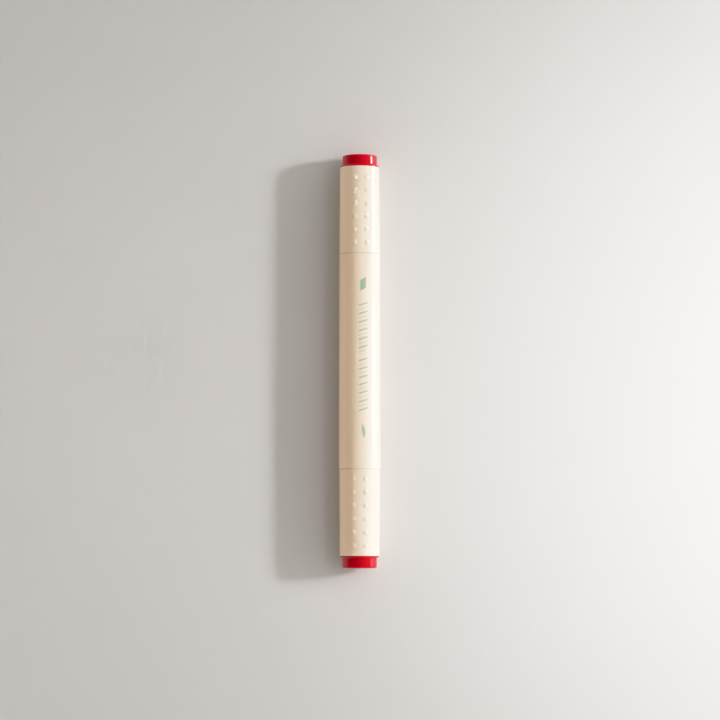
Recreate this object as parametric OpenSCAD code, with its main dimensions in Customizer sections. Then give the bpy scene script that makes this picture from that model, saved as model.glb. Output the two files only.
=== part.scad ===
// Twin-tip calligraphy marker: chisel nib at one end, brush nib at the other.
// It lies on a table with its axis along Y: the chisel end points to +Y, the
// brush end to -Y, and the printed side faces up. Millimetres.

/* [Overall] */
// Length over both end plugs
total_len = 148; // [144:0.5:152]
// Gap between a closed cap and the barrel
seam_gap = 0.1; // [0.05:0.05:0.2]

/* [Barrel] */
// Outer radius of the barrel at the chisel end
barrel_r_chisel = 7.29; // [7.1:0.01:7.4]
// Outer radius of the barrel at the brush end
barrel_r_brush = 7.455; // [7.4:0.005:7.6]
// Radius of the bore through the barrel
barrel_bore_r = 6.2; // [6.1:0.05:6.3]
// Chamfer on the outer edges at the seams
edge = 0.12; // [0.05:0.01:0.2]
// Ribs inside the barrel that centre the ink reservoir
rib_count = 6; // [4:1:8]
// Width of each rib
rib_w = 0.8; // [0.6:0.1:1.2]

/* [Caps] */
// Length of the chisel cap
chisel_cap_len = 31.4; // [30.4:0.1:32]
// Length of the brush cap
brush_cap_len = 31; // [30.4:0.1:32]
// Outer radius of the chisel cap at its mouth
chisel_mouth_r = 7.3; // [7.2:0.01:7.4]
// Outer radius of the chisel cap at its closed end
chisel_rim_r = 7.1; // [7.05:0.01:7.2]
// Outer radius of the brush cap at its mouth
brush_mouth_r = 7.29; // [7.2:0.01:7.4]
// Outer radius of the brush cap at its closed end
brush_rim_r = 7.13; // [7.05:0.01:7.2]
// Radius of the mouth, which fits the neck and the end bosses
mouth_bore_r = 6.3; // [6.28:0.01:6.32]
// Rounding of the rim beside the end plug
rim_round = 0.3; // [0.2:0.05:0.4]

/* [Grip dots] */
// Dots in each column
dot_rows = 6; // [4:1:6]
// Diameter of a dot where it meets the cap
dot_d = 2; // [1.6:0.1:2.2]
// Height of a dot above the cap
dot_h = 0.38; // [0.25:0.01:0.45]
// Angle of each column from the middle of its pad
dot_angle = 17.6; // [16:0.1:20]
// Distance between the dots on the chisel cap
chisel_dot_pitch = 4.7; // [4.4:0.05:4.8]
// Distance between the dots on the brush cap
brush_dot_pitch = 4.75; // [4.4:0.05:4.8]
// Distance from a cap's mouth to the middle of its dots
dot_middle = 15.55; // [15:0.05:16]
// How far the chisel cap is turned from the printed side
chisel_cap_turn = 3.5; // [-5:0.5:5]
// How far the brush cap is turned from the printed side
brush_cap_turn = -0.6; // [-5:0.1:5]

/* [End plugs] */
// Height of the chisel end plug above the cap
chisel_plug_h = 4.25; // [4:0.05:4.5]
// Height of the brush end plug above the cap
brush_plug_h = 4.4; // [4:0.05:4.5]
// Radius of the flange
flange_r = 6.95; // [6.8:0.05:7]
// Thickness of the flange
flange_t = 0.6; // [0.5:0.05:0.8]
// Radius of the boss, on which the other cap fits while writing
boss_r = 6.2; // [6.15:0.01:6.22]
// Rounding of the boss's outer edge
boss_round = 0.6; // [0.4:0.05:0.8]

/* [Nibs] */
// Width of the chisel nib
chisel_nib_w = 6; // [5.6:0.1:6.2]
// Thickness of the chisel nib
chisel_nib_t = 3.2; // [2.8:0.1:3.4]
// Thickness of the writing edge
chisel_edge_t = 0.9; // [0.6:0.1:1.2]
// Slant of the writing edge
chisel_slant = 32; // [25:1:38]
// Radius of the brush nib where it leaves its holder
brush_nib_r = 1.9; // [1.7:0.05:2]

/* [Print] */
// How far round the barrel the printed marks sit from the top
print_turn = 10; // [0:1:20]
// Height of the pen strokes across the barrel
stroke_h = 3.2; // [2.4:0.1:3.6]
// Width of a broad stroke
broad_w = 0.62; // [0.4:0.02:0.8]
// Width of a hairline stroke
hair_w = 0.2; // [0.15:0.01:0.3]
// Distance between strokes
stroke_pitch = 1.52; // [1.4:0.02:1.6]

/* [Hidden] */
$fn = 96;

cream = [0.95, 0.88, 0.79];
red = [0.78, 0.02, 0.1];
mint = [0.67, 0.8, 0.68];
natural = [0.93, 0.93, 0.9];
fibre = [0.86, 0.84, 0.8];

// The barrel rests on its wider end, so that radius is the height of the axis.
axis_h = barrel_r_brush;
chisel_seam = total_len / 2 - chisel_plug_h - chisel_cap_len;
brush_seam = -total_len / 2 + brush_plug_h + brush_cap_len;

// Nib sections, measured outwards from the end of the barrel
spigot_len = 10;
collar_r = 6.7;
collar_t = 0.8;
neck_r = 6.15;
neck_len = 8;
bead_r = 6.25;
bead_mid = 5.4;
seal_neck_r = 4.6;
seal_neck_end = 13.2;
chisel_nose_end = 16.5;
chisel_nose_r = 3.7;
chisel_tip = 23;
brush_nose_end = 17.4;
brush_nose_r = 2.5;
brush_tip = 24.4;
nib_tail = 14.2;
cavity_r = 5;
socket_depth = 4;

// Cap interior, measured outwards from the end of the barrel or inwards from the rim
guide_r = 5.35;
guide_from = 9.2;
stop_r = 5.7;
stop_back = 4.7;
seat_r = 6.1;
skirt_len = 3.2;
skirt_bead = 0.1;

// Seal cups
cup_r = 5.25;
cup_bore_r = 4.65;
cup_wall_end = 0.8;
cup_mouth = 9.6;
cup_collar_r = 6.02;

// Reservoir
reservoir_r = 5.6;
wrap_r = 5.7;
rib_r = 5.75;
reservoir_top = chisel_seam - spigot_len - 0.2;
reservoir_bottom = brush_seam + spigot_len + 0.2;

// Printed ink
ink_proud = 0.03;
ink_sunk = 0.04;

// ---------- helpers ----------

// Points along an arc in a profile
function arc(c, r, a0, a1, n = 6) =
    [for (i = [0 : n]) c + r * [cos(a0 + (a1 - a0) * i / n), sin(a0 + (a1 - a0) * i / n)]];

// Outer radius of the barrel at a height
function barrel_r(z) =
    barrel_r_brush + (barrel_r_chisel - barrel_r_brush) * (z - brush_seam) / (chisel_seam - brush_seam);

// Lay the upright marker on the table, printed side up
module lay() {
    translate([0, 0, axis_h]) rotate([-90, 0, 0]) children();
}

// Each end is drawn outwards from the barrel's end face
module at_chisel_end() {
    lay() translate([0, 0, chisel_seam]) children();
}

module at_brush_end() {
    lay() translate([0, 0, brush_seam]) mirror([0, 0, 1]) children();
}

// ---------- barrel ----------

module rib_row() {
    for (i = [0 : rib_count - 1])
        rotate([0, 0, i * 360 / rib_count])
            translate([rib_r, -rib_w / 2, reservoir_bottom + 0.4])
                cube([barrel_bore_r - rib_r + 1, rib_w, reservoir_top - reservoir_bottom - 0.8]);
}

module barrel() {
    color(cream) lay() difference() {
        rotate_extrude() polygon([
            [0, brush_seam],
            [barrel_r_brush - edge, brush_seam],
            [barrel_r_brush, brush_seam + edge],
            [barrel_r_chisel, chisel_seam - edge],
            [barrel_r_chisel - edge, chisel_seam],
            [0, chisel_seam]
        ]);
        difference() {
            translate([0, 0, brush_seam - 1])
                cylinder(h = chisel_seam - brush_seam + 2, r = barrel_bore_r);
            rib_row();
        }
        // Seats for the collars of the two nib sections
        translate([0, 0, chisel_seam - collar_t]) cylinder(h = collar_t + 1, r = collar_r);
        translate([0, 0, brush_seam - 1]) cylinder(h = collar_t + 1, r = collar_r);
    }
}

// ---------- printed marks ----------

// One slanted stroke across the barrel at distance v along it
module stroke(v, w) {
    lean = stroke_h * 0.16;
    polygon([
        [-stroke_h / 2, v - lean - w / 2],
        [-stroke_h / 2, v - lean + w / 2],
        [stroke_h / 2, v + lean + w / 2],
        [stroke_h / 2, v + lean - w / 2]
    ]);
}

// A run of strokes from v downwards, broad and hairline in turn
module stroke_run(v, count) {
    for (i = [0 : count - 1])
        stroke(v - i * stroke_pitch, i % 2 == 0 ? broad_w : hair_w);
}

// The line that the chisel nib draws: a flat ribbon with slanted ends
module ribbon_mark(v) {
    polygon([[-1.05, v - 2.6], [0.95, v - 1.3], [0.95, v + 2.6], [-1.05, v + 1.3]]);
}

// The line that the brush nib draws: a stroke that swells and thins
module swelling_mark(v) {
    reach = 2.7;
    steps = 10;
    polygon(concat(
        [for (i = [0 : steps]) [0.75 * sin(180 * i / steps) + 0.3 * cos(180 * i / steps),
                                v - reach + 2 * reach * i / steps]],
        [for (i = [steps - 1 : -1 : 1]) [-0.55 * sin(180 * i / steps) + 0.3 * cos(180 * i / steps),
                                         v - reach + 2 * reach * i / steps]]
    ));
}

module printed_marks() {
    color(mint) lay() intersection() {
        difference() {
            translate([0, 0, -35])
                cylinder(h = 70, r1 = barrel_r(-35) + ink_proud, r2 = barrel_r(35) + ink_proud);
            translate([0, 0, -36])
                cylinder(h = 72, r1 = barrel_r(-36) - ink_sunk, r2 = barrel_r(36) - ink_sunk);
        }
        rotate([0, 0, print_turn]) translate([0, -5, 0]) rotate([90, 0, 0]) linear_extrude(4) {
            ribbon_mark(27.2);
            stroke_run(20, 12);
            stroke_run(0.2, 5);
            stroke_run(-8.4, 7);
            swelling_mark(-25.2);
        }
    }
}

// ---------- caps ----------

// One pad of grip dots on the side that faces the print or the side opposite
module dot_pad(len, r_mouth, r_rim, pitch) {
    ball_r = (dot_d * dot_d / 4 + dot_h * dot_h) / (2 * dot_h);
    for (row = [0 : dot_rows - 1], side = [-1, 1]) {
        s = dot_middle + (row - (dot_rows - 1) / 2) * pitch;
        r = r_mouth + (r_rim - r_mouth) * s / len;
        rotate([0, 0, side * dot_angle]) translate([0, -(r + dot_h - ball_r), s]) sphere(r = ball_r, $fn = 48);
    }
}

module cap_sleeve(len, r_mouth, r_rim, pitch, turn) {
    rotate([0, 0, turn]) difference() {
        union() {
            rotate_extrude() polygon(concat(
                [[0, seam_gap], [r_mouth - edge, seam_gap], [r_mouth, seam_gap + edge]],
                arc([r_rim - rim_round, len - rim_round], rim_round, 0, 90),
                [[0, len]]
            ));
            dot_pad(len, r_mouth, r_rim, pitch);
            rotate([0, 0, 180]) dot_pad(len, r_mouth, r_rim, pitch);
        }
        // Mouth, guide ring, stop ring and plug seat
        rotate_extrude() polygon([
            [0, -1], [mouth_bore_r + 0.35, -1],
            [mouth_bore_r + 0.35, seam_gap], [mouth_bore_r, seam_gap + 0.35],
            [mouth_bore_r, guide_from], [guide_r, guide_from + 0.6],
            [guide_r, guide_from + 1.6], [seat_r, guide_from + 2.3],
            [seat_r, len - stop_back - 1.1], [stop_r, len - stop_back - 0.7],
            [stop_r, len - stop_back], [seat_r, len - stop_back],
            [seat_r, len - 2.4], [seat_r + skirt_bead, len - 2.1],
            [seat_r + skirt_bead, len - 1.9], [seat_r, len - 1.6],
            [seat_r, len + 1], [0, len + 1]
        ]);
    }
}

module chisel_cap() {
    color(cream) at_chisel_end()
        cap_sleeve(chisel_cap_len, chisel_mouth_r, chisel_rim_r, chisel_dot_pitch, chisel_cap_turn);
}

module brush_cap() {
    color(cream) at_brush_end()
        cap_sleeve(brush_cap_len, brush_mouth_r, brush_rim_r, brush_dot_pitch, brush_cap_turn);
}

// A plug is a thin-walled cup: skirt in the cap, flange on the rim, boss outside
module end_plug(len, h) {
    wall = 0.8;
    fillet = 0.35;
    translate([0, 0, len]) rotate_extrude() polygon(concat(
        [[seat_r - wall, -skirt_len], [seat_r - 0.3, -skirt_len], [seat_r, -skirt_len + 0.3],
         [seat_r, -2.4], [seat_r + skirt_bead, -2.1], [seat_r + skirt_bead, -1.9], [seat_r, -1.6],
         [seat_r, 0]],
        arc([flange_r - flange_t / 2, flange_t / 2], flange_t / 2, -90, 90),
        arc([boss_r + fillet, flange_t + fillet], fillet, 270, 180),
        arc([boss_r - boss_round, h - boss_round], boss_round, 0, 90),
        [[0, h], [0, h - 1.1], [seat_r - wall - 0.4, h - 1.1], [seat_r - wall, h - 1.5]]
    ));
}

module chisel_end_plug() {
    color(red) at_chisel_end() end_plug(chisel_cap_len, chisel_plug_h);
}

module brush_end_plug() {
    color(red) at_brush_end() end_plug(brush_cap_len, brush_plug_h);
}

// The inner cup that closes on the seal neck; its collar sits between stop ring and plug
module seal_cup(len) {
    cup_end = len - 1;
    collar_from = len - stop_back + 0.1;
    collar_to = len - skirt_len - 0.2;
    rotate_extrude() polygon([
        [cup_bore_r + 0.3, cup_mouth], [cup_r, cup_mouth],
        [cup_r, collar_from], [cup_collar_r, collar_from],
        [cup_collar_r, collar_to], [cup_r, collar_to],
        [cup_r, cup_end - 0.5], [cup_r - 0.5, cup_end],
        [0, cup_end], [0, cup_end - cup_wall_end],
        [cup_bore_r, cup_end - cup_wall_end], [cup_bore_r, cup_mouth + 0.5]
    ]);
}

module chisel_seal_cup() {
    color(natural) at_chisel_end() seal_cup(chisel_cap_len);
}

module brush_seal_cup() {
    color(natural) at_brush_end() seal_cup(brush_cap_len);
}

// ---------- nib sections ----------

// Spigot in the barrel, collar in its seat, neck with a bead, seal neck and nose
module section_body(nose_end, nose_r) {
    difference() {
        rotate_extrude() polygon([
            [0, -spigot_len], [barrel_bore_r - 0.5, -spigot_len],
            [barrel_bore_r, -spigot_len + 0.6], [barrel_bore_r, -collar_t],
            [collar_r, -collar_t], [collar_r, 0], [neck_r, 0],
            [neck_r, bead_mid - 0.5], [bead_r, bead_mid - 0.2],
            [bead_r, bead_mid + 0.2], [neck_r, bead_mid + 0.5],
            [neck_r, neck_len - 0.4], [neck_r - 0.4, neck_len],
            [seal_neck_r, neck_len], [seal_neck_r, seal_neck_end],
            [seal_neck_r - 0.3, seal_neck_end + 0.4],
            [nose_r + 0.2, nose_end - 0.4], [nose_r, nose_end], [0, nose_end]
        ]);
        // Open back, then the space round the nib beyond the web
        translate([0, 0, -spigot_len - 1]) cylinder(h = 4, r = cavity_r);
        translate([0, 0, -5]) cylinder(h = 11.5, r = cavity_r);
        translate([0, 0, 6.4]) cylinder(h = 5.6, r = seal_neck_r - 0.9);
        // Air passages through the web
        for (turn = [45 : 90 : 315])
            rotate([0, 0, turn]) translate([cavity_r - 0.9, 0, -8]) cylinder(h = 4, r = 0.5, $fn = 24);
    }
}

// A round rod with two flats, the cross-section of the chisel nib
module flatted_rod(from, to) {
    translate([0, 0, from]) intersection() {
        cylinder(h = to - from, d = chisel_nib_w);
        translate([-chisel_nib_w, -chisel_nib_t / 2, 0]) cube([2 * chisel_nib_w, chisel_nib_t, to - from]);
    }
}

module chisel_nib_section() {
    color(natural) at_chisel_end() difference() {
        section_body(chisel_nose_end, chisel_nose_r);
        flatted_rod(-spigot_len, chisel_nose_end + 1);
        // Two air grooves beside the flats of the nib
        for (side = [-1, 1])
            translate([-0.3, side * chisel_nib_t / 2 - 0.45, 11]) cube([0.6, 0.9, 6]);
    }
}

module brush_nib_section() {
    color(natural) at_brush_end() difference() {
        section_body(brush_nose_end, brush_nose_r);
        translate([0, 0, -spigot_len]) cylinder(h = spigot_len + brush_nose_end + 1, r = brush_nib_r);
    }
}

// ---------- nibs ----------

// The writing edge runs across the nib at a slant, with a bevel on both faces
module chisel_wedge() {
    half_t = chisel_nib_t / 2 + 0.2;
    half_edge = chisel_edge_t / 2;
    bevel_len = 4;
    rise = chisel_nib_w / 2 * tan(chisel_slant);
    translate([0, 0, chisel_tip - rise]) rotate([0, chisel_slant, 0]) rotate([90, 0, 90])
        translate([0, 0, -20]) linear_extrude(40)
            polygon([[-half_t, -60], [half_t, -60], [half_t, -bevel_len], [half_edge, -0.3],
                     [half_edge - 0.2, 0], [-half_edge + 0.2, 0], [-half_edge, -0.3], [-half_t, -bevel_len]]);
}

module chisel_nib() {
    color(fibre) at_chisel_end() intersection() {
        flatted_rod(-nib_tail, chisel_tip + 1);
        chisel_wedge();
    }
}

// Stem, retaining shoulder and a pointed tip whose sides are gently convex
module brush_nib() {
    steps = 12;
    bare = brush_tip - brush_nose_end;
    color(fibre) at_brush_end() rotate_extrude() polygon(concat(
        [[0, -nib_tail], [1.2, -nib_tail], [1.5, -nib_tail + 0.4], [1.5, 7],
         [2.6, 7.4], [2.6, 9], [brush_nib_r, 9.6]],
        [for (i = [0 : steps - 1]) [brush_nib_r * (1 - pow(i / steps, 1.7)) + 0.12 * i / steps,
                                    brush_nose_end + bare * i / steps]],
        [[0, brush_tip]]
    ));
}

// ---------- ink supply ----------

module ink_reservoir() {
    color(fibre) lay() difference() {
        rotate_extrude() polygon([
            [0, reservoir_bottom], [reservoir_r, reservoir_bottom],
            [reservoir_r, reservoir_top], [0, reservoir_top]
        ]);
        // Sockets that the tails of the two nibs press into
        translate([0, 0, chisel_seam]) flatted_rod(-nib_tail, -spigot_len);
        translate([0, 0, reservoir_bottom - 1]) cylinder(h = socket_depth + 1, r = 1.5);
    }
}

module reservoir_wrap() {
    color("white", 0.6) lay() difference() {
        translate([0, 0, reservoir_bottom]) cylinder(h = reservoir_top - reservoir_bottom, r = wrap_r);
        translate([0, 0, reservoir_bottom - 1])
            cylinder(h = reservoir_top - reservoir_bottom + 2, r = reservoir_r);
    }
}

barrel();
printed_marks();
chisel_cap();
chisel_end_plug();
chisel_seal_cup();
chisel_nib_section();
chisel_nib();
brush_cap();
brush_end_plug();
brush_seal_cup();
brush_nib_section();
brush_nib();
ink_reservoir();
reservoir_wrap();
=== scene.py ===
import math

import bpy
import numpy as np
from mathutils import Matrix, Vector


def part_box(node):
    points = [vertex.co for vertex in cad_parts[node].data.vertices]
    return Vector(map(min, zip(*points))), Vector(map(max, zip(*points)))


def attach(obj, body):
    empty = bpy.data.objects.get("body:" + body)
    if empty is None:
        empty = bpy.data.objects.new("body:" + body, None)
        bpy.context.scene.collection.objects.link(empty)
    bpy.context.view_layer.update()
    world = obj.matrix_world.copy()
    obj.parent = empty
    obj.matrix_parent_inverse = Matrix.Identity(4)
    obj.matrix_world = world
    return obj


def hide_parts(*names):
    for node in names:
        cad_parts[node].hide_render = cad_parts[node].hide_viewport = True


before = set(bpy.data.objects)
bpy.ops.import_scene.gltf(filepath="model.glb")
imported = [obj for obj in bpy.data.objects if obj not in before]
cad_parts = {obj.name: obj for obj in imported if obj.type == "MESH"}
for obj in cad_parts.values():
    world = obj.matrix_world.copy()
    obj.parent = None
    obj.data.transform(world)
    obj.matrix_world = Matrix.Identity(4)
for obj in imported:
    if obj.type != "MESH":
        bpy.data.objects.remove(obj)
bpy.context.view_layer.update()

# ---------------------------------------------------------------- driving sizes, in metres

MM = 0.001
BARREL_LOW, BARREL_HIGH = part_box("barrel")
AXIS_H = (BARREL_LOW.z + BARREL_HIGH.z) / 2
CHISEL_SEAM = BARREL_HIGH.y
BRUSH_SEAM = BARREL_LOW.y

# Barrel
BARREL_R_BRUSH = 7.45 * MM
BARREL_R_CHISEL = 7.285 * MM
BORE_R = 6.2 * MM
COLLAR_R = 6.7 * MM
COLLAR_T = 0.8 * MM
EDGE = 0.12 * MM

# Caps
SEAM_GAP = 0.1 * MM
CHISEL_CAP_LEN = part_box("chisel_cap")[1].y - CHISEL_SEAM
BRUSH_CAP_LEN = BRUSH_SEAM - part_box("brush_cap")[0].y
CHISEL_MOUTH_R, CHISEL_RIM_R = 7.3 * MM, 7.1 * MM
BRUSH_MOUTH_R, BRUSH_RIM_R = 7.29 * MM, 7.13 * MM
MOUTH_BORE_R = 6.3 * MM
GUIDE_R = 5.35 * MM
STOP_R = 5.7 * MM
SEAT_R = 6.1 * MM
DOT_ROWS = 6
DOT_R = 1.0 * MM
DOT_H = 0.38 * MM
DOT_ANGLE = 17.6
DOT_MIDDLE = 15.55 * MM
CHISEL_PITCH = 4.7 * MM
BRUSH_PITCH = 4.75 * MM
CHISEL_TURN = 3.5
BRUSH_TURN = -0.6

# End plugs
FLANGE_R = 6.95 * MM
FLANGE_T = 0.6 * MM
BOSS_R = 6.2 * MM
BOSS_ROUND = 0.6 * MM
SKIRT_LEN = 3.2 * MM

# Nib sections and nibs
NECK_R = 6.15 * MM
BEAD_R = 6.25 * MM
SEAL_NECK_R = 4.6 * MM
SPIGOT_LEN = 10 * MM
NIB_TAIL = 14.2 * MM
FIBRE_GAP = 0.03 * MM
CHISEL_R = 3 * MM
CHISEL_HALF_FLAT = 1.6 * MM
CHISEL_NOSE = 16.5 * MM
BRUSH_R = 1.9 * MM
BRUSH_NOSE = 17.4 * MM

# Print
PRINT_TURN = 10
INK_PROUD = 0.025 * MM
INK_SUNK = 0.02 * MM

# Meshing
WELD = 0.002 * MM
CORNER = math.radians(35)
FINE = ((360, 144),)
MEDIUM = ((360, 112),)
COARSE = ((360, 96),)
SLIM = ((360, 64),)


# ---------------------------------------------------------------- modelling helpers

def place(r, y, turn):
    """A point at radius r and place y along the marker, turned from the top towards +X, in degrees."""
    a = math.radians(turn)
    return Vector((r * math.sin(a), y, AXIS_H + r * math.cos(a)))


def arc(r, y, radius, start, end, steps=5):
    """Points of a rounded corner in an outline, centred at (r, y)."""
    sweep = [math.radians(start + (end - start) * i / steps) for i in range(steps + 1)]
    return [(r + radius * math.cos(a), y + radius * math.sin(a)) for a in sweep]


def only(obj):
    """Select one object and make it the active one."""
    bpy.ops.object.select_all(action="DESELECT")
    obj.select_set(True)
    bpy.context.view_layer.objects.active = obj


def edit(obj):
    only(obj)
    bpy.ops.object.mode_set(mode="EDIT")
    bpy.ops.mesh.select_mode(type="VERT")


def done():
    bpy.ops.object.mode_set(mode="OBJECT")


def smooth(obj):
    """Shade the soft bends smooth and keep the corners crisp."""
    only(obj)
    bpy.ops.object.shade_smooth_by_angle(angle=CORNER)


def finish_piece(obj):
    """Merge, face outwards, smooth, and leave the object at the origin with its place in its mesh."""
    edit(obj)
    bpy.ops.mesh.select_all(action="SELECT")
    bpy.ops.mesh.remove_doubles(threshold=WELD)
    bpy.ops.mesh.normals_make_consistent(inside=False)
    done()
    bpy.ops.object.transform_apply(location=True, rotation=True, scale=True)
    smooth(obj)


def braced(outline):
    """The outline with a point near each end of every long run, so that walls look straight."""
    near, long_run = 0.05 * MM, 0.4 * MM
    points = [outline[0]]
    for (r0, y0), (r1, y1) in zip(outline, outline[1:]):
        run = math.hypot(r1 - r0, y1 - y0)
        if run > long_run:
            for share in (near / run, 1 - near / run):
                points.append((r0 + (r1 - r0) * share, y0 + (y1 - y0) * share))
        points.append((r1, y1))
    return points


def lathe(name, outline, slices, start=0):
    """Draw an outline of (radius, place) points and spin it round the axis in (degrees, steps) slices."""
    bpy.ops.object.select_all(action="DESELECT")
    bpy.ops.mesh.primitive_plane_add(size=MM, location=(0, 0, 0))
    obj = bpy.context.active_object
    obj.name = obj.data.name = name
    edit(obj)
    bpy.ops.mesh.select_all(action="SELECT")
    bpy.ops.mesh.merge(type="CENTER")
    points = [place(r, y, start) for r, y in braced(outline)]
    bpy.ops.transform.translate(value=points[0])
    for here, there in zip(points, points[1:]):
        bpy.ops.mesh.extrude_region_move(TRANSFORM_OT_translate={"value": there - here})
    bpy.ops.mesh.select_all(action="SELECT")
    for angle, steps in slices:
        bpy.ops.mesh.spin(steps=steps, angle=math.radians(angle), center=(0, 0, AXIS_H), axis=(0, -1, 0))
    done()
    finish_piece(obj)
    return obj


def belongs(obj, body, slot, material, *nodes):
    """Give a piece its finish and its body, and hide the CAD nodes it stands for."""
    obj.data.materials.clear()
    obj.data.materials.append(material)
    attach(obj, body)
    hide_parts(*nodes)


# ---------------------------------------------------------------- material helpers

class Recipe:
    """A material made of nodes, with its Principled shader and object coordinates ready."""

    def __init__(self, name, **settings):
        self.material = bpy.data.materials.new(name)
        self.material.use_nodes = True
        self.tree = self.material.node_tree
        self.shader = self.tree.nodes["Principled BSDF"]
        self.coords = self.tree.nodes.new("ShaderNodeTexCoord").outputs["Object"]
        for socket, value in settings.items():
            self.shader.inputs[socket.replace("_", " ")].default_value = value

    def add(self, kind, **values):
        node = self.tree.nodes.new(kind)
        for name, value in values.items():
            if name in node.inputs:
                node.inputs[name].default_value = value
            else:
                setattr(node, name, value)
        return node

    def join(self, source, target):
        self.tree.links.new(source, target)

    def noise(self, scale, detail=4.0, stretch=(1, 1, 1), roughness=0.5):
        mapping = self.add("ShaderNodeMapping", Scale=stretch)
        texture = self.add("ShaderNodeTexNoise", Scale=scale, Detail=detail, Roughness=roughness)
        self.join(self.coords, mapping.inputs["Vector"])
        self.join(mapping.outputs["Vector"], texture.inputs["Vector"])
        return texture.outputs["Fac"]

    def spread(self, fac, low, high):
        """A noise value turned into a number between low and high."""
        node = self.tree.nodes.new("ShaderNodeMapRange")
        for socket, value in (("From Min", 0.3), ("From Max", 0.7), ("To Min", low), ("To Max", high)):
            node.inputs[socket].default_value = value
        self.join(fac, node.inputs["Value"])
        return node.outputs["Result"]

    def colours(self, fac, *stops):
        """A colour ramp from (position, (r, g, b)) stops."""
        node = self.tree.nodes.new("ShaderNodeValToRGB")
        ramp = node.color_ramp
        while len(ramp.elements) < len(stops):
            ramp.elements.new(0.5)
        for element, (position, colour) in zip(ramp.elements, stops):
            element.position = position
            element.color = (*colour, 1)
        self.join(fac, node.inputs["Fac"])
        return node.outputs["Color"]

    def bump(self, height, distance, strength, under=None):
        node = self.add("ShaderNodeBump", Distance=distance, Strength=strength)
        self.join(height, node.inputs["Height"])
        if under is not None:
            self.join(under, node.inputs["Normal"])
        return node.outputs["Normal"]

    def feed(self, source, socket):
        self.join(source, self.shader.inputs[socket])


def cream_plastic():
    """Satin moulded polypropylene with a spark-eroded skin and a faint swirl in its colour."""
    m = Recipe("cream_plastic", IOR=1.49, Coat_Weight=0.55, Coat_Roughness=0.07)
    swirl = m.noise(90, detail=5, stretch=(1, 0.25, 1))
    m.feed(m.colours(swirl, (0.3, (0.905, 0.725, 0.555)), (0.7, (0.925, 0.75, 0.585))), "Base Color")
    m.feed(m.spread(m.noise(2200), 0.44, 0.54), "Roughness")
    soft = m.bump(m.noise(420, detail=2), 0.01 * MM, 0.6)
    m.feed(m.bump(m.noise(6500, detail=6, roughness=0.7), 0.006 * MM, 0.8, under=soft), "Normal")
    return m.material


def red_plastic():
    """Glossy moulded plastic in deep signal red."""
    m = Recipe("red_plastic", IOR=1.46, Coat_Weight=0.15, Coat_Roughness=0.04)
    swirl = m.noise(260, detail=3)
    m.feed(m.colours(swirl, (0.3, (0.62, 0.0005, 0.010)), (0.7, (0.67, 0.001, 0.016))), "Base Color")
    m.feed(m.spread(m.noise(900), 0.06, 0.12), "Roughness")
    m.feed(m.bump(m.noise(520, detail=2), 0.006 * MM, 0.5), "Normal")
    return m.material


def mint_ink():
    """Pad-printed ink: thin, slightly uneven in cover, with a soft edge to its gloss."""
    m = Recipe("mint_ink", IOR=1.45)
    cover = m.noise(1500, detail=5, roughness=0.6)
    m.feed(m.colours(cover, (0.3, (0.36, 0.50, 0.335)), (0.7, (0.42, 0.56, 0.39))), "Base Color")
    m.feed(m.spread(cover, 0.42, 0.56), "Roughness")
    m.feed(m.bump(m.noise(7000, detail=3), 0.004 * MM, 0.5), "Normal")
    return m.material


def natural_plastic():
    """Uncoloured polypropylene, slightly cloudy."""
    m = Recipe("natural_plastic", IOR=1.49, Coat_Weight=0.3, Coat_Roughness=0.12)
    cloud = m.noise(160)
    m.feed(m.colours(cloud, (0.3, (0.78, 0.78, 0.745)), (0.7, (0.83, 0.83, 0.80))), "Base Color")
    m.feed(m.spread(m.noise(1800), 0.32, 0.38), "Roughness")
    m.feed(m.bump(m.noise(600, detail=2), 0.004 * MM, 0.4), "Normal")
    return m.material


def nib_fibre():
    """Bonded polyester fibre, soaked in red ink, with its strands along the nib."""
    m = Recipe("nib_fibre", IOR=1.4, Sheen_Weight=0.15, Sheen_Roughness=0.5)
    strands = m.noise(9000, detail=3, stretch=(1, 0.04, 1))
    m.feed(m.colours(strands, (0.25, (0.16, 0.001, 0.006)), (0.55, (0.38, 0.004, 0.016)),
                     (0.8, (0.56, 0.03, 0.04))), "Base Color")
    m.feed(m.spread(strands, 0.55, 0.85), "Roughness")
    fuzz = m.bump(m.noise(16000, detail=4), 0.02 * MM, 0.5)
    m.feed(m.bump(strands, 0.05 * MM, 0.8, under=fuzz), "Normal")
    return m.material


def reservoir_fibre():
    """Loose crimped fibre drawn into a rod, wet with red ink."""
    m = Recipe("reservoir_fibre", IOR=1.4, Roughness=0.85)
    strands = m.noise(4200, detail=5, stretch=(1, 0.03, 1))
    m.feed(m.colours(strands, (0.3, (0.30, 0.004, 0.014)), (0.7, (0.72, 0.12, 0.14))), "Base Color")
    m.feed(m.bump(strands, 0.08 * MM, 0.9), "Normal")
    return m.material


def wrap_film():
    """Thin clear film, drawn tight and slightly wrinkled."""
    m = Recipe("wrap_film", IOR=1.46, Roughness=0.12, Alpha=0.35, Base_Color=(0.9, 0.92, 0.93, 1))
    m.feed(m.bump(m.noise(700, detail=3, stretch=(1, 0.3, 1)), 0.02 * MM, 0.6), "Normal")
    return m.material


def table_paint():
    """The pale floor: smooth, matt, with the faintest grain."""
    m = Recipe("table_paint", Roughness=0.75, IOR=1.4, Specular_IOR_Level=0.2)
    grain = m.noise(40, detail=4)
    m.feed(m.colours(grain, (0.3, (0.66, 0.646, 0.618)), (0.7, (0.67, 0.656, 0.627))), "Base Color")
    m.feed(m.bump(m.noise(2500, detail=3), 0.004 * MM, 0.3), "Normal")
    return m.material


CREAM = cream_plastic()
RED = red_plastic()
MINT = mint_ink()
NATURAL = natural_plastic()
NIB = nib_fibre()


# ---------------------------------------------------------------- barrel

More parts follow.
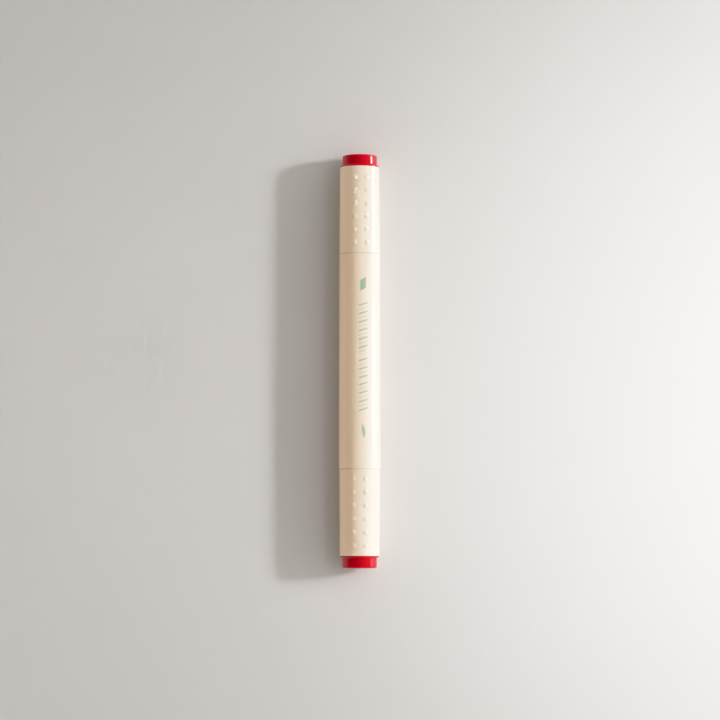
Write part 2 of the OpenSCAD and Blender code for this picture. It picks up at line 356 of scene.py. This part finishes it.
def barrel_r(y):
    """Outer radius of the barrel at a place along it."""
    share = (y - BRUSH_SEAM) / (CHISEL_SEAM - BRUSH_SEAM)
    return BARREL_R_BRUSH + (BARREL_R_CHISEL - BARREL_R_BRUSH) * share


def make_barrel():
    low, high = BRUSH_SEAM, CHISEL_SEAM
    stations = 16
    wall = [(barrel_r(y), y) for y in np.linspace(low + EDGE, high - EDGE, stations)]
    outline = [
        *arc(BARREL_R_BRUSH - EDGE, low + EDGE, EDGE, -90, 0),
        *wall[1:-1],
        *arc(BARREL_R_CHISEL - EDGE, high - EDGE, EDGE, 0, 90),
        (COLLAR_R, high), (COLLAR_R, high - COLLAR_T), (BORE_R, high - COLLAR_T),
        (BORE_R, low + COLLAR_T), (COLLAR_R, low + COLLAR_T), (COLLAR_R, low),
        (BARREL_R_BRUSH - EDGE, low),
    ]
    obj = lathe("barrel_tube", outline, FINE)
    belongs(obj, "barrel", "cream_plastic", CREAM, "barrel")


# ---------------------------------------------------------------- caps

# The wall is cut finely where the dots rise: two columns on the print's side, two on the back
DOT_ZONE = 1.2 * MM
DOT_CUTS = 16
COLUMN_SWEEP = 19
CAP_SLICES = ((COLUMN_SWEEP, 16), (2 * DOT_ANGLE - COLUMN_SWEEP, 4), (COLUMN_SWEEP, 16),
              (180 - 2 * DOT_ANGLE - COLUMN_SWEEP, 28)) * 2


def raise_dots(obj, rows, radius_at, turn):
    """Pull each dot out of the cap's wall as a low dome."""
    for side in (0, 180):
        for column in (-DOT_ANGLE, DOT_ANGLE):
            angle = turn + side + column
            centres = np.array([place(radius_at(y), y, angle) for y in rows])
            here = np.array([v.co for v in obj.data.vertices])
            nearest = [int(np.linalg.norm(here - c, axis=1).argmin()) for c in centres]
            edit(obj)
            bpy.ops.mesh.select_all(action="DESELECT")
            done()
            for index in nearest:
                obj.data.vertices[index].select = True
            bpy.ops.object.mode_set(mode="EDIT")
            out = place(1, 0, angle) - place(0, 0, angle)
            bpy.ops.transform.translate(
                value=out * DOT_H, use_proportional_edit=True,
                proportional_edit_falloff="INVERSE_SQUARE", proportional_size=DOT_R)
            done()


def make_cap(end, seam, way, length, r_mouth, r_rim, pitch, turn):
    """A cap's sleeve, drawn outwards from its seam; way is 1 towards +Y and -1 towards -Y."""
    rim_round = 0.3 * MM
    chamfer = 0.35 * MM
    seat_end, stop_end, stop_slope = length - 4.7 * MM, length - 5.4 * MM, length - 5.8 * MM
    mouth_end, guide_from, guide_to, seat_from = 9.2 * MM, 9.8 * MM, 10.8 * MM, 11.5 * MM

    def radius_at(s):
        return r_mouth + (r_rim - r_mouth) * s / length

    rows = [DOT_MIDDLE + (i - (DOT_ROWS - 1) / 2) * pitch for i in range(DOT_ROWS)]
    steps = [s + DOT_ZONE * (2 * i / DOT_CUTS - 1) for s in rows for i in range(DOT_CUTS + 1)]
    wall = [(radius_at(s), s) for s in steps]
    outline = [
        *arc(r_mouth - EDGE, SEAM_GAP + EDGE, EDGE, -90, 0),
        *wall,
        *arc(r_rim - rim_round, length - rim_round, rim_round, 0, 90),
        (SEAT_R, length), (SEAT_R, seat_end), (STOP_R, seat_end), (STOP_R, stop_end), (SEAT_R, stop_slope),
        (SEAT_R, seat_from), (GUIDE_R, guide_to), (GUIDE_R, guide_from), (MOUTH_BORE_R, mouth_end),
        (MOUTH_BORE_R, SEAM_GAP + chamfer), (MOUTH_BORE_R + chamfer, SEAM_GAP),
        (r_mouth - EDGE, SEAM_GAP),
    ]
    outline = [(r, seam + way * s) for r, s in outline]
    start = turn - DOT_ANGLE - COLUMN_SWEEP / 2
    obj = lathe(end + "_cap_sleeve", outline, CAP_SLICES, start)
    raise_dots(obj, [seam + way * s for s in rows], lambda y: radius_at((y - seam) * way), turn)
    smooth(obj)
    belongs(obj, end + "_cap", "cream_plastic", CREAM, end + "_cap")


# ---------------------------------------------------------------- end plugs and seal cups

def make_plug(end, rim, way, height):
    """A red plug, drawn outwards from the cap's rim: boss, flange, and the skirt in the cap."""
    fillet, chamfer = 0.35 * MM, 0.3 * MM
    hollow_r, hollow_chamfer = SEAT_R - 0.8 * MM, 0.4 * MM
    roof = height - 1.1 * MM
    outline = [
        (0, height), *reversed(arc(BOSS_R - BOSS_ROUND, height - BOSS_ROUND, BOSS_ROUND, 0, 90, 10)),
        *reversed(arc(BOSS_R + fillet, FLANGE_T + fillet, fillet, 270, 180, 8)),
        *reversed(arc(FLANGE_R - FLANGE_T / 2, FLANGE_T / 2, FLANGE_T / 2, -90, 90, 12)),
        (SEAT_R, 0), (SEAT_R, -SKIRT_LEN + chamfer), (SEAT_R - chamfer, -SKIRT_LEN),
        (hollow_r, -SKIRT_LEN), (hollow_r, roof - hollow_chamfer), (hollow_r - hollow_chamfer, roof),
        (0, roof),
    ]
    obj = lathe(end + "_end_plug_red", [(r, rim + way * s) for r, s in outline], FINE)
    belongs(obj, end + "_cap", "red_plastic", RED, end + "_end_plug")


def make_seal_cup(end, seam, way, length):
    """The soft cup inside a cap, held by its collar and closed towards the plug."""
    cup_r, cup_bore_r, collar_r = 5.25 * MM, 4.65 * MM, 6.02 * MM
    crown_round, lip_round, floor_t = 0.4 * MM, 0.15 * MM, 0.8 * MM
    mouth, cup_end = 9.6 * MM, length - 1 * MM
    collar_from, collar_to = length - 4.6 * MM, length - 3.4 * MM
    outline = [
        (0, cup_end), (cup_r - 0.5 * MM, cup_end),
        *reversed(arc(cup_r - crown_round, cup_end - crown_round, crown_round, 0, 60, 4)),
        (cup_r, collar_to), (collar_r, collar_to), (collar_r, collar_from), (cup_r, collar_from),
        *reversed(arc(cup_r - lip_round, mouth + lip_round, lip_round, -90, 0, 3)),
        (cup_bore_r + 0.3 * MM, mouth), (cup_bore_r, mouth + 0.5 * MM),
        (cup_bore_r, cup_end - floor_t), (0, cup_end - floor_t),
    ]
    obj = lathe(end + "_seal_cup_natural", [(r, seam + way * s) for r, s in outline], COARSE)
    belongs(obj, end + "_seal", "natural_plastic", NATURAL, end + "_seal_cup")


# ---------------------------------------------------------------- nib sections

def section_outline(nose_end, nose_r, hole_r):
    """Spigot, collar, neck with its bead, seal neck and nose; then back through the hollow inside."""
    bead, bead_low_r = 5.4 * MM, BEAD_R - 0.02 * MM
    neck_end, seal_end = 8 * MM, 13.2 * MM
    small_round, neck_round = 0.25 * MM, 0.4 * MM
    cavity_r, throat_r = 5 * MM, 3.7 * MM
    web_from, web_to, throat_from, throat_to = -7 * MM, -5 * MM, 6.5 * MM, 12 * MM
    return [
        (hole_r, nose_end),
        *reversed(arc(nose_r - small_round, nose_end - small_round, small_round, 0, 90, 4)),
        (nose_r + 0.12 * MM, nose_end - 0.6 * MM),
        (SEAL_NECK_R - 0.35 * MM, seal_end + 0.4 * MM), (SEAL_NECK_R - 0.08 * MM, seal_end + 0.1 * MM),
        (SEAL_NECK_R, seal_end), (SEAL_NECK_R, neck_end + small_round),
        *arc(SEAL_NECK_R + small_round, neck_end + small_round, small_round, 180, 270, 3),
        *reversed(arc(NECK_R - neck_round, neck_end - neck_round, neck_round, 0, 90, 4)),
        (NECK_R, bead + 0.5 * MM), (bead_low_r, bead + 0.25 * MM), (BEAD_R, bead),
        (bead_low_r, bead - 0.25 * MM), (NECK_R, bead - 0.5 * MM), (NECK_R, 0),
        (COLLAR_R, 0), (COLLAR_R, -COLLAR_T), (BORE_R, -COLLAR_T),
        (BORE_R, -SPIGOT_LEN + 0.6 * MM), (BORE_R - 0.5 * MM, -SPIGOT_LEN), (cavity_r, -SPIGOT_LEN),
        (cavity_r, web_from), (hole_r, web_from), (hole_r, web_to), (cavity_r, web_to),
        (cavity_r, throat_from), (throat_r, throat_from), (throat_r, throat_to), (hole_r, throat_to),
        (hole_r, nose_end),
    ]


def make_brush_section():
    """The holder of the brush nib, with a fine nose."""
    outline = section_outline(BRUSH_NOSE, 2.5 * MM, BRUSH_R + FIBRE_GAP)
    obj = lathe("brush_nib_holder", [(r, BRUSH_SEAM - s) for r, s in outline], MEDIUM)
    belongs(obj, "barrel", "natural_plastic", NATURAL, "brush_nib_section")


def flatted_rod(name, from_y, to_y, radius, half_flat):
    """A round rod with two flats, laid along the marker."""
    bpy.ops.object.select_all(action="DESELECT")
    bpy.ops.mesh.primitive_cylinder_add(
        vertices=96, radius=radius, depth=to_y - from_y,
        location=(0, (from_y + to_y) / 2, AXIS_H), rotation=(math.radians(90), 0, 0))
    obj = bpy.context.active_object
    obj.name = obj.data.name = name
    bpy.ops.object.transform_apply(location=True, rotation=True, scale=True)
    edit(obj)
    for side in (1, -1):
        bpy.ops.mesh.select_all(action="SELECT")
        bpy.ops.mesh.bisect(plane_co=(0, 0, AXIS_H + side * half_flat), plane_no=(0, 0, side),
                            use_fill=True, clear_outer=True)
    done()
    return obj


def cut_with(obj, cutter):
    """Take the cutter's shape out of a piece."""
    only(obj)
    modifier = obj.modifiers.new("cut", "BOOLEAN")
    modifier.operation, modifier.solver, modifier.object = "DIFFERENCE", "EXACT", cutter
    bpy.ops.object.modifier_apply(modifier=modifier.name)
    bpy.data.objects.remove(cutter)


def make_chisel_section():
    """The nose and the web are lathed nearly shut, then broached to the chisel nib's flatted section."""
    pilot_r = 1.2 * MM
    outline = section_outline(CHISEL_NOSE, 3.7 * MM, pilot_r)
    obj = lathe("chisel_nib_holder", [(r, CHISEL_SEAM + s) for r, s in outline], MEDIUM)
    broach = flatted_rod("broach", CHISEL_SEAM - 12 * MM, CHISEL_SEAM + 18 * MM,
                         CHISEL_R + FIBRE_GAP, CHISEL_HALF_FLAT + FIBRE_GAP)
    cut_with(obj, broach)
    groove_w, groove_len, groove_h, groove_mid = 0.6 * MM, 6 * MM, 0.9 * MM, CHISEL_SEAM + 14 * MM
    for side in (1, -1):
        bpy.ops.object.select_all(action="DESELECT")
        bpy.ops.mesh.primitive_cube_add(
            size=1, location=(0, groove_mid, AXIS_H + side * CHISEL_HALF_FLAT),
            scale=(groove_w, groove_len, groove_h))
        groove = bpy.context.active_object
        bpy.ops.object.transform_apply(location=True, rotation=True, scale=True)
        cut_with(obj, groove)
    finish_piece(obj)
    belongs(obj, "barrel", "natural_plastic", NATURAL, "chisel_nib_section")


# ---------------------------------------------------------------- nibs

def make_chisel_nib():
    """A flatted felt rod, cut to a slanted writing edge with a bevel on both faces."""
    slant = math.radians(32)
    half_edge, bevel_len = 0.45 * MM, 4 * MM
    tip = CHISEL_SEAM + 23 * MM
    edge_mid = Vector((0, tip - CHISEL_R * math.tan(slant), AXIS_H))
    obj = flatted_rod("chisel_nib_felt", CHISEL_SEAM - NIB_TAIL, tip + MM, CHISEL_R, CHISEL_HALF_FLAT)
    along = Vector((math.sin(slant), math.cos(slant), 0))
    edit(obj)
    bpy.ops.mesh.select_all(action="SELECT")
    bpy.ops.mesh.bisect(plane_co=edge_mid, plane_no=along, use_fill=True, clear_outer=True)
    lean = math.atan2(CHISEL_HALF_FLAT - half_edge, bevel_len)
    for side in (1, -1):
        normal = along * math.sin(lean) + Vector((0, 0, side * math.cos(lean)))
        bpy.ops.mesh.select_all(action="SELECT")
        bpy.ops.mesh.bisect(plane_co=edge_mid + Vector((0, 0, side * half_edge)), plane_no=normal,
                            use_fill=True, clear_outer=True)
    bpy.ops.mesh.select_all(action="SELECT")
    bpy.ops.mesh.remove_doubles(threshold=WELD)
    done()
    only(obj)
    rounding = obj.modifiers.new("soft edges", "BEVEL")
    rounding.width, rounding.segments, rounding.limit_method = 0.14 * MM, 3, "ANGLE"
    rounding.angle_limit = math.radians(14)
    bpy.ops.object.modifier_apply(modifier=rounding.name)
    finish_piece(obj)
    belongs(obj, "barrel", "nib_fibre", NIB, "chisel_nib")


def make_brush_nib():
    """A pointed felt nib whose sides are gently convex, with its shoulder and tail inside the holder."""
    tip, tip_r, belly = 24.4 * MM, 0.12 * MM, 1.7
    shoulder_r, tail_r, tail_chamfer = 2.6 * MM, 1.5 * MM, 0.3 * MM
    steps = 26
    point = []
    for i in range(steps):
        t = i / steps
        point.append((BRUSH_R * (1 - t ** belly) + tip_r * t, BRUSH_NOSE + (tip - BRUSH_NOSE) * t))
    outline = [
        (0, tip), (0.07 * MM, tip - 0.02 * MM), *reversed(point),
        (BRUSH_R, 9.6 * MM), (shoulder_r, 9 * MM), (shoulder_r, 7.4 * MM), (tail_r, 7 * MM),
        (tail_r, -NIB_TAIL + 0.4 * MM), (tail_r - tail_chamfer, -NIB_TAIL), (0, -NIB_TAIL),
    ]
    obj = lathe("brush_nib_felt", [(r, BRUSH_SEAM - s) for r, s in outline], SLIM)
    belongs(obj, "barrel", "nib_fibre", NIB, "brush_nib")


# ---------------------------------------------------------------- printed marks

def on_barrel(across, along, lift=0.0):
    """A point of the print: across the barrel and along it, laid on the barrel's skin."""
    r = barrel_r(along) + lift
    turn = math.radians(PRINT_TURN)
    x, z = across, math.sqrt(r * r - across * across)
    return Vector((x * math.cos(turn) + z * math.sin(turn), along,
                   AXIS_H + z * math.cos(turn) - x * math.sin(turn)))


def ink_patch(shape, cuts_long, cuts_wide):
    """A thin patch of ink; shape(p, q) gives (across, along) for p and q from -1 to 1."""
    bpy.ops.object.select_all(action="DESELECT")
    bpy.ops.mesh.primitive_grid_add(x_subdivisions=cuts_long, y_subdivisions=cuts_wide, size=2)
    obj = bpy.context.active_object
    for vertex in obj.data.vertices:
        vertex.co = on_barrel(*shape(vertex.co.x, vertex.co.y), INK_PROUD)
    return obj


def pen_stroke(along, width):
    """A slanted stroke drawn across the barrel, a little narrower at its ends."""
    half_h, lean = 1.6 * MM, 0.512 * MM

    def shape(p, q):
        ends = 1 - 0.18 * p ** 4
        return p * half_h, along + p * lean + q * width / 2 * ends
    return ink_patch(shape, 12, 2)


def ribbon_stroke(along):
    """The broad line of a chisel nib: an even ribbon with slanted ends."""
    middle, half_w, half_len, lean = -0.05 * MM, MM, 1.95 * MM, 0.65 * MM

    def shape(p, q):
        return middle + q * half_w, along + p * half_len + q * lean
    return ink_patch(shape, 8, 10)


def swelling_stroke(along):
    """The line of a brush nib: thin, swelling, thin again."""
    half_len, belly, drift = 2.7 * MM, 0.65, 0.3

    def shape(p, q):
        fullness = math.cos(math.pi / 2 * p)
        middle = 0.1 * fullness - drift * math.sin(math.pi / 2 * p)
        return (middle + q * (belly * fullness + 0.02)) * MM, along + p * half_len
    return ink_patch(shape, 24, 6)


def make_print():
    """A ribbon, three runs of broad and hair strokes by turns, and a swelling stroke, as one film of ink."""
    pitch, broad, hair = 1.52 * MM, 0.62 * MM, 0.2 * MM
    runs = ((20 * MM, 12), (0.2 * MM, 5), (-8.4 * MM, 7))
    patches = [ribbon_stroke(27.2 * MM), swelling_stroke(-25.2 * MM)]
    for first, count in runs:
        for i in range(count):
            patches.append(pen_stroke(first - i * pitch, hair if i % 2 else broad))
    bpy.ops.object.select_all(action="DESELECT")
    for patch in patches:
        patch.select_set(True)
    obj = patches[0]
    bpy.context.view_layer.objects.active = obj
    bpy.ops.object.join()
    obj.name = obj.data.name = "printed_ink"
    only(obj)
    film = obj.modifiers.new("film", "SOLIDIFY")
    film.thickness, film.offset = INK_PROUD + INK_SUNK, -1
    bpy.ops.object.modifier_apply(modifier=film.name)
    finish_piece(obj)
    belongs(obj, "barrel", "mint_ink", MINT, "printed_marks")


# ---------------------------------------------------------------- the whole marker

def make_marker():
    make_barrel()
    make_cap("chisel", CHISEL_SEAM, 1, CHISEL_CAP_LEN, CHISEL_MOUTH_R, CHISEL_RIM_R, CHISEL_PITCH,
             CHISEL_TURN)
    make_cap("brush", BRUSH_SEAM, -1, BRUSH_CAP_LEN, BRUSH_MOUTH_R, BRUSH_RIM_R, BRUSH_PITCH, BRUSH_TURN)
    chisel_rim = CHISEL_SEAM + CHISEL_CAP_LEN
    brush_rim = BRUSH_SEAM - BRUSH_CAP_LEN
    make_plug("chisel", chisel_rim, 1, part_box("chisel_end_plug")[1].y - chisel_rim)
    make_plug("brush", brush_rim, -1, brush_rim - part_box("brush_end_plug")[0].y)
    make_seal_cup("chisel", CHISEL_SEAM, 1, CHISEL_CAP_LEN)
    make_seal_cup("brush", BRUSH_SEAM, -1, BRUSH_CAP_LEN)
    make_chisel_section()
    make_brush_section()
    make_chisel_nib()
    make_brush_nib()
    make_print()
    for node, material in (("ink_reservoir", reservoir_fibre()), ("reservoir_wrap", wrap_film())):
        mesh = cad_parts[node].data
        mesh.materials.clear()
        mesh.materials.append(material)


# ---------------------------------------------------------------- floor, lights and camera

def make_floor():
    bpy.ops.object.select_all(action="DESELECT")
    bpy.ops.mesh.primitive_plane_add(size=12, location=(0, 0, 0))
    floor = bpy.context.active_object
    floor.name = "floor"
    floor.data.materials.append(table_paint())


def soft_light(name, place_at, aim, width, height, power, colour=(1, 1, 1)):
    """A rectangular soft light that is not itself seen by the camera."""
    data = bpy.data.lights.new(name, "AREA")
    data.shape, data.size, data.size_y = "RECTANGLE", width, height
    data.energy, data.color = power, colour
    light = bpy.data.objects.new(name, data)
    bpy.context.scene.collection.objects.link(light)
    light.location = place_at
    direction = Vector(aim) - Vector(place_at)
    light.rotation_mode = "QUATERNION"
    light.rotation_quaternion = direction.to_track_quat("-Z", "Y")
    light.visible_camera = False
    return light


def make_room():
    """A dim room: dark overhead, lighter round the horizon and towards +X, and dark in reflections."""
    world = bpy.data.worlds.new("room")
    world.use_nodes = True
    tree = world.node_tree

    def sum_node(operation, *values):
        """One step of arithmetic on numbers and other nodes' outputs."""
        node = tree.nodes.new("ShaderNodeMath")
        node.operation = operation
        for socket, value in zip(node.inputs, values):
            if isinstance(value, float):
                socket.default_value = value
            else:
                tree.links.new(value, socket)
        return node.outputs["Value"]

    split = tree.nodes.new("ShaderNodeSeparateXYZ")
    tree.links.new(tree.nodes.new("ShaderNodeTexCoord").outputs["Generated"], split.inputs["Vector"])
    in_gloss = tree.nodes.new("ShaderNodeLightPath").outputs["Is Glossy Ray"]
    by_height = sum_node("MULTIPLY_ADD", split.outputs["Z"], -1.0, 1.05)
    by_side = sum_node("MULTIPLY_ADD", split.outputs["X"], 0.5, by_height)
    dimming = sum_node("MULTIPLY_ADD", in_gloss, -0.93, 1.0)
    brightness = sum_node("MULTIPLY", sum_node("MULTIPLY", dimming, by_side), 1.72)
    sky = tree.nodes["Background"]
    sky.inputs["Color"].default_value = (1.0, 0.975, 0.945, 1)
    tree.links.new(brightness, sky.inputs["Strength"])
    bpy.context.scene.world = world


def only_for(light, name, pieces):
    """Let a light reach only these pieces."""
    receivers = bpy.data.collections.new(name)
    for piece in pieces:
        receivers.objects.link(piece)
    light.light_linking.receiver_collection = receivers


def make_lights():
    key = soft_light("key", (0.955, 0.14, 0.47), (0.24, 0.01, 0), 0.21, 0.11, 0.252, (0.985, 0.985, 1.0))
    key.data.spread = math.radians(29)
    key.visible_glossy = False

    through = soft_light("light_through_the_plastic", (-0.4, -0.05, 0.16), (0, 0, 0.01), 0.4, 0.16, 0.36,
                         (1.0, 0.6, 0.22))
    through.visible_glossy = False
    only_for(through, "cream_pieces", [piece for piece in bpy.context.scene.objects
                                       if piece.type == "MESH" and CREAM.name in piece.data.materials])

    across = soft_light("light_across_the_table", (0.2, -0.04, 0.3), (0.3, -0.04, 0), 0.15, 0.15, 0.4)
    across.data.spread = math.radians(110)
    across.visible_glossy = False
    only_for(across, "table", [bpy.data.objects["floor"]])

    strip_x, strip_z, strip_height = 0.4, 0.041, 0.08
    for name, y, length, radiance in (("strip_far", 0.1035, 0.047, 30), ("strip_near", 0.0165, 0.08, 30),
                                      ("strip_end", -0.074, 0.011, 3)):
        strip = soft_light(name, (strip_x, y, strip_z), (0, y, strip_z), length, strip_height,
                           math.pi * length * strip_height * radiance)
        strip.visible_diffuse = False
    make_room()


def make_camera():
    distance, tilt = 1.07, math.radians(3.7)
    data = bpy.data.cameras.new("camera")
    data.lens, data.sensor_width = 149.3, 36
    data.clip_start, data.clip_end = 0.1, 20
    camera = bpy.data.objects.new("camera", data)
    bpy.context.scene.collection.objects.link(camera)
    target = Vector((0.0001, 0.00045, AXIS_H))
    back = Vector((0, -math.sin(tilt), math.cos(tilt)))
    camera.location = target + back * distance
    camera.rotation_mode = "QUATERNION"
    camera.rotation_quaternion = (-back).to_track_quat("-Z", "Y")
    bpy.context.scene.camera = camera


def set_film():
    """A straight response with a soft shoulder, so that the brightest plastic keeps its shape."""
    view = bpy.context.scene.view_settings
    view.view_transform = "Standard"
    view.use_curve_mapping = True
    brightest = 1.6
    view.curve_mapping.white_level = (brightest, brightest, brightest)
    shoulder = view.curve_mapping.curves[3]
    for light, shown in ((0.3, 0.3), (0.6, 0.585), (0.8, 0.73), (1.0, 0.83), (1.3, 0.92)):
        shoulder.points.new(light / brightest, shown)
    view.curve_mapping.update()


make_marker()
make_floor()
make_lights()
make_camera()
set_film()
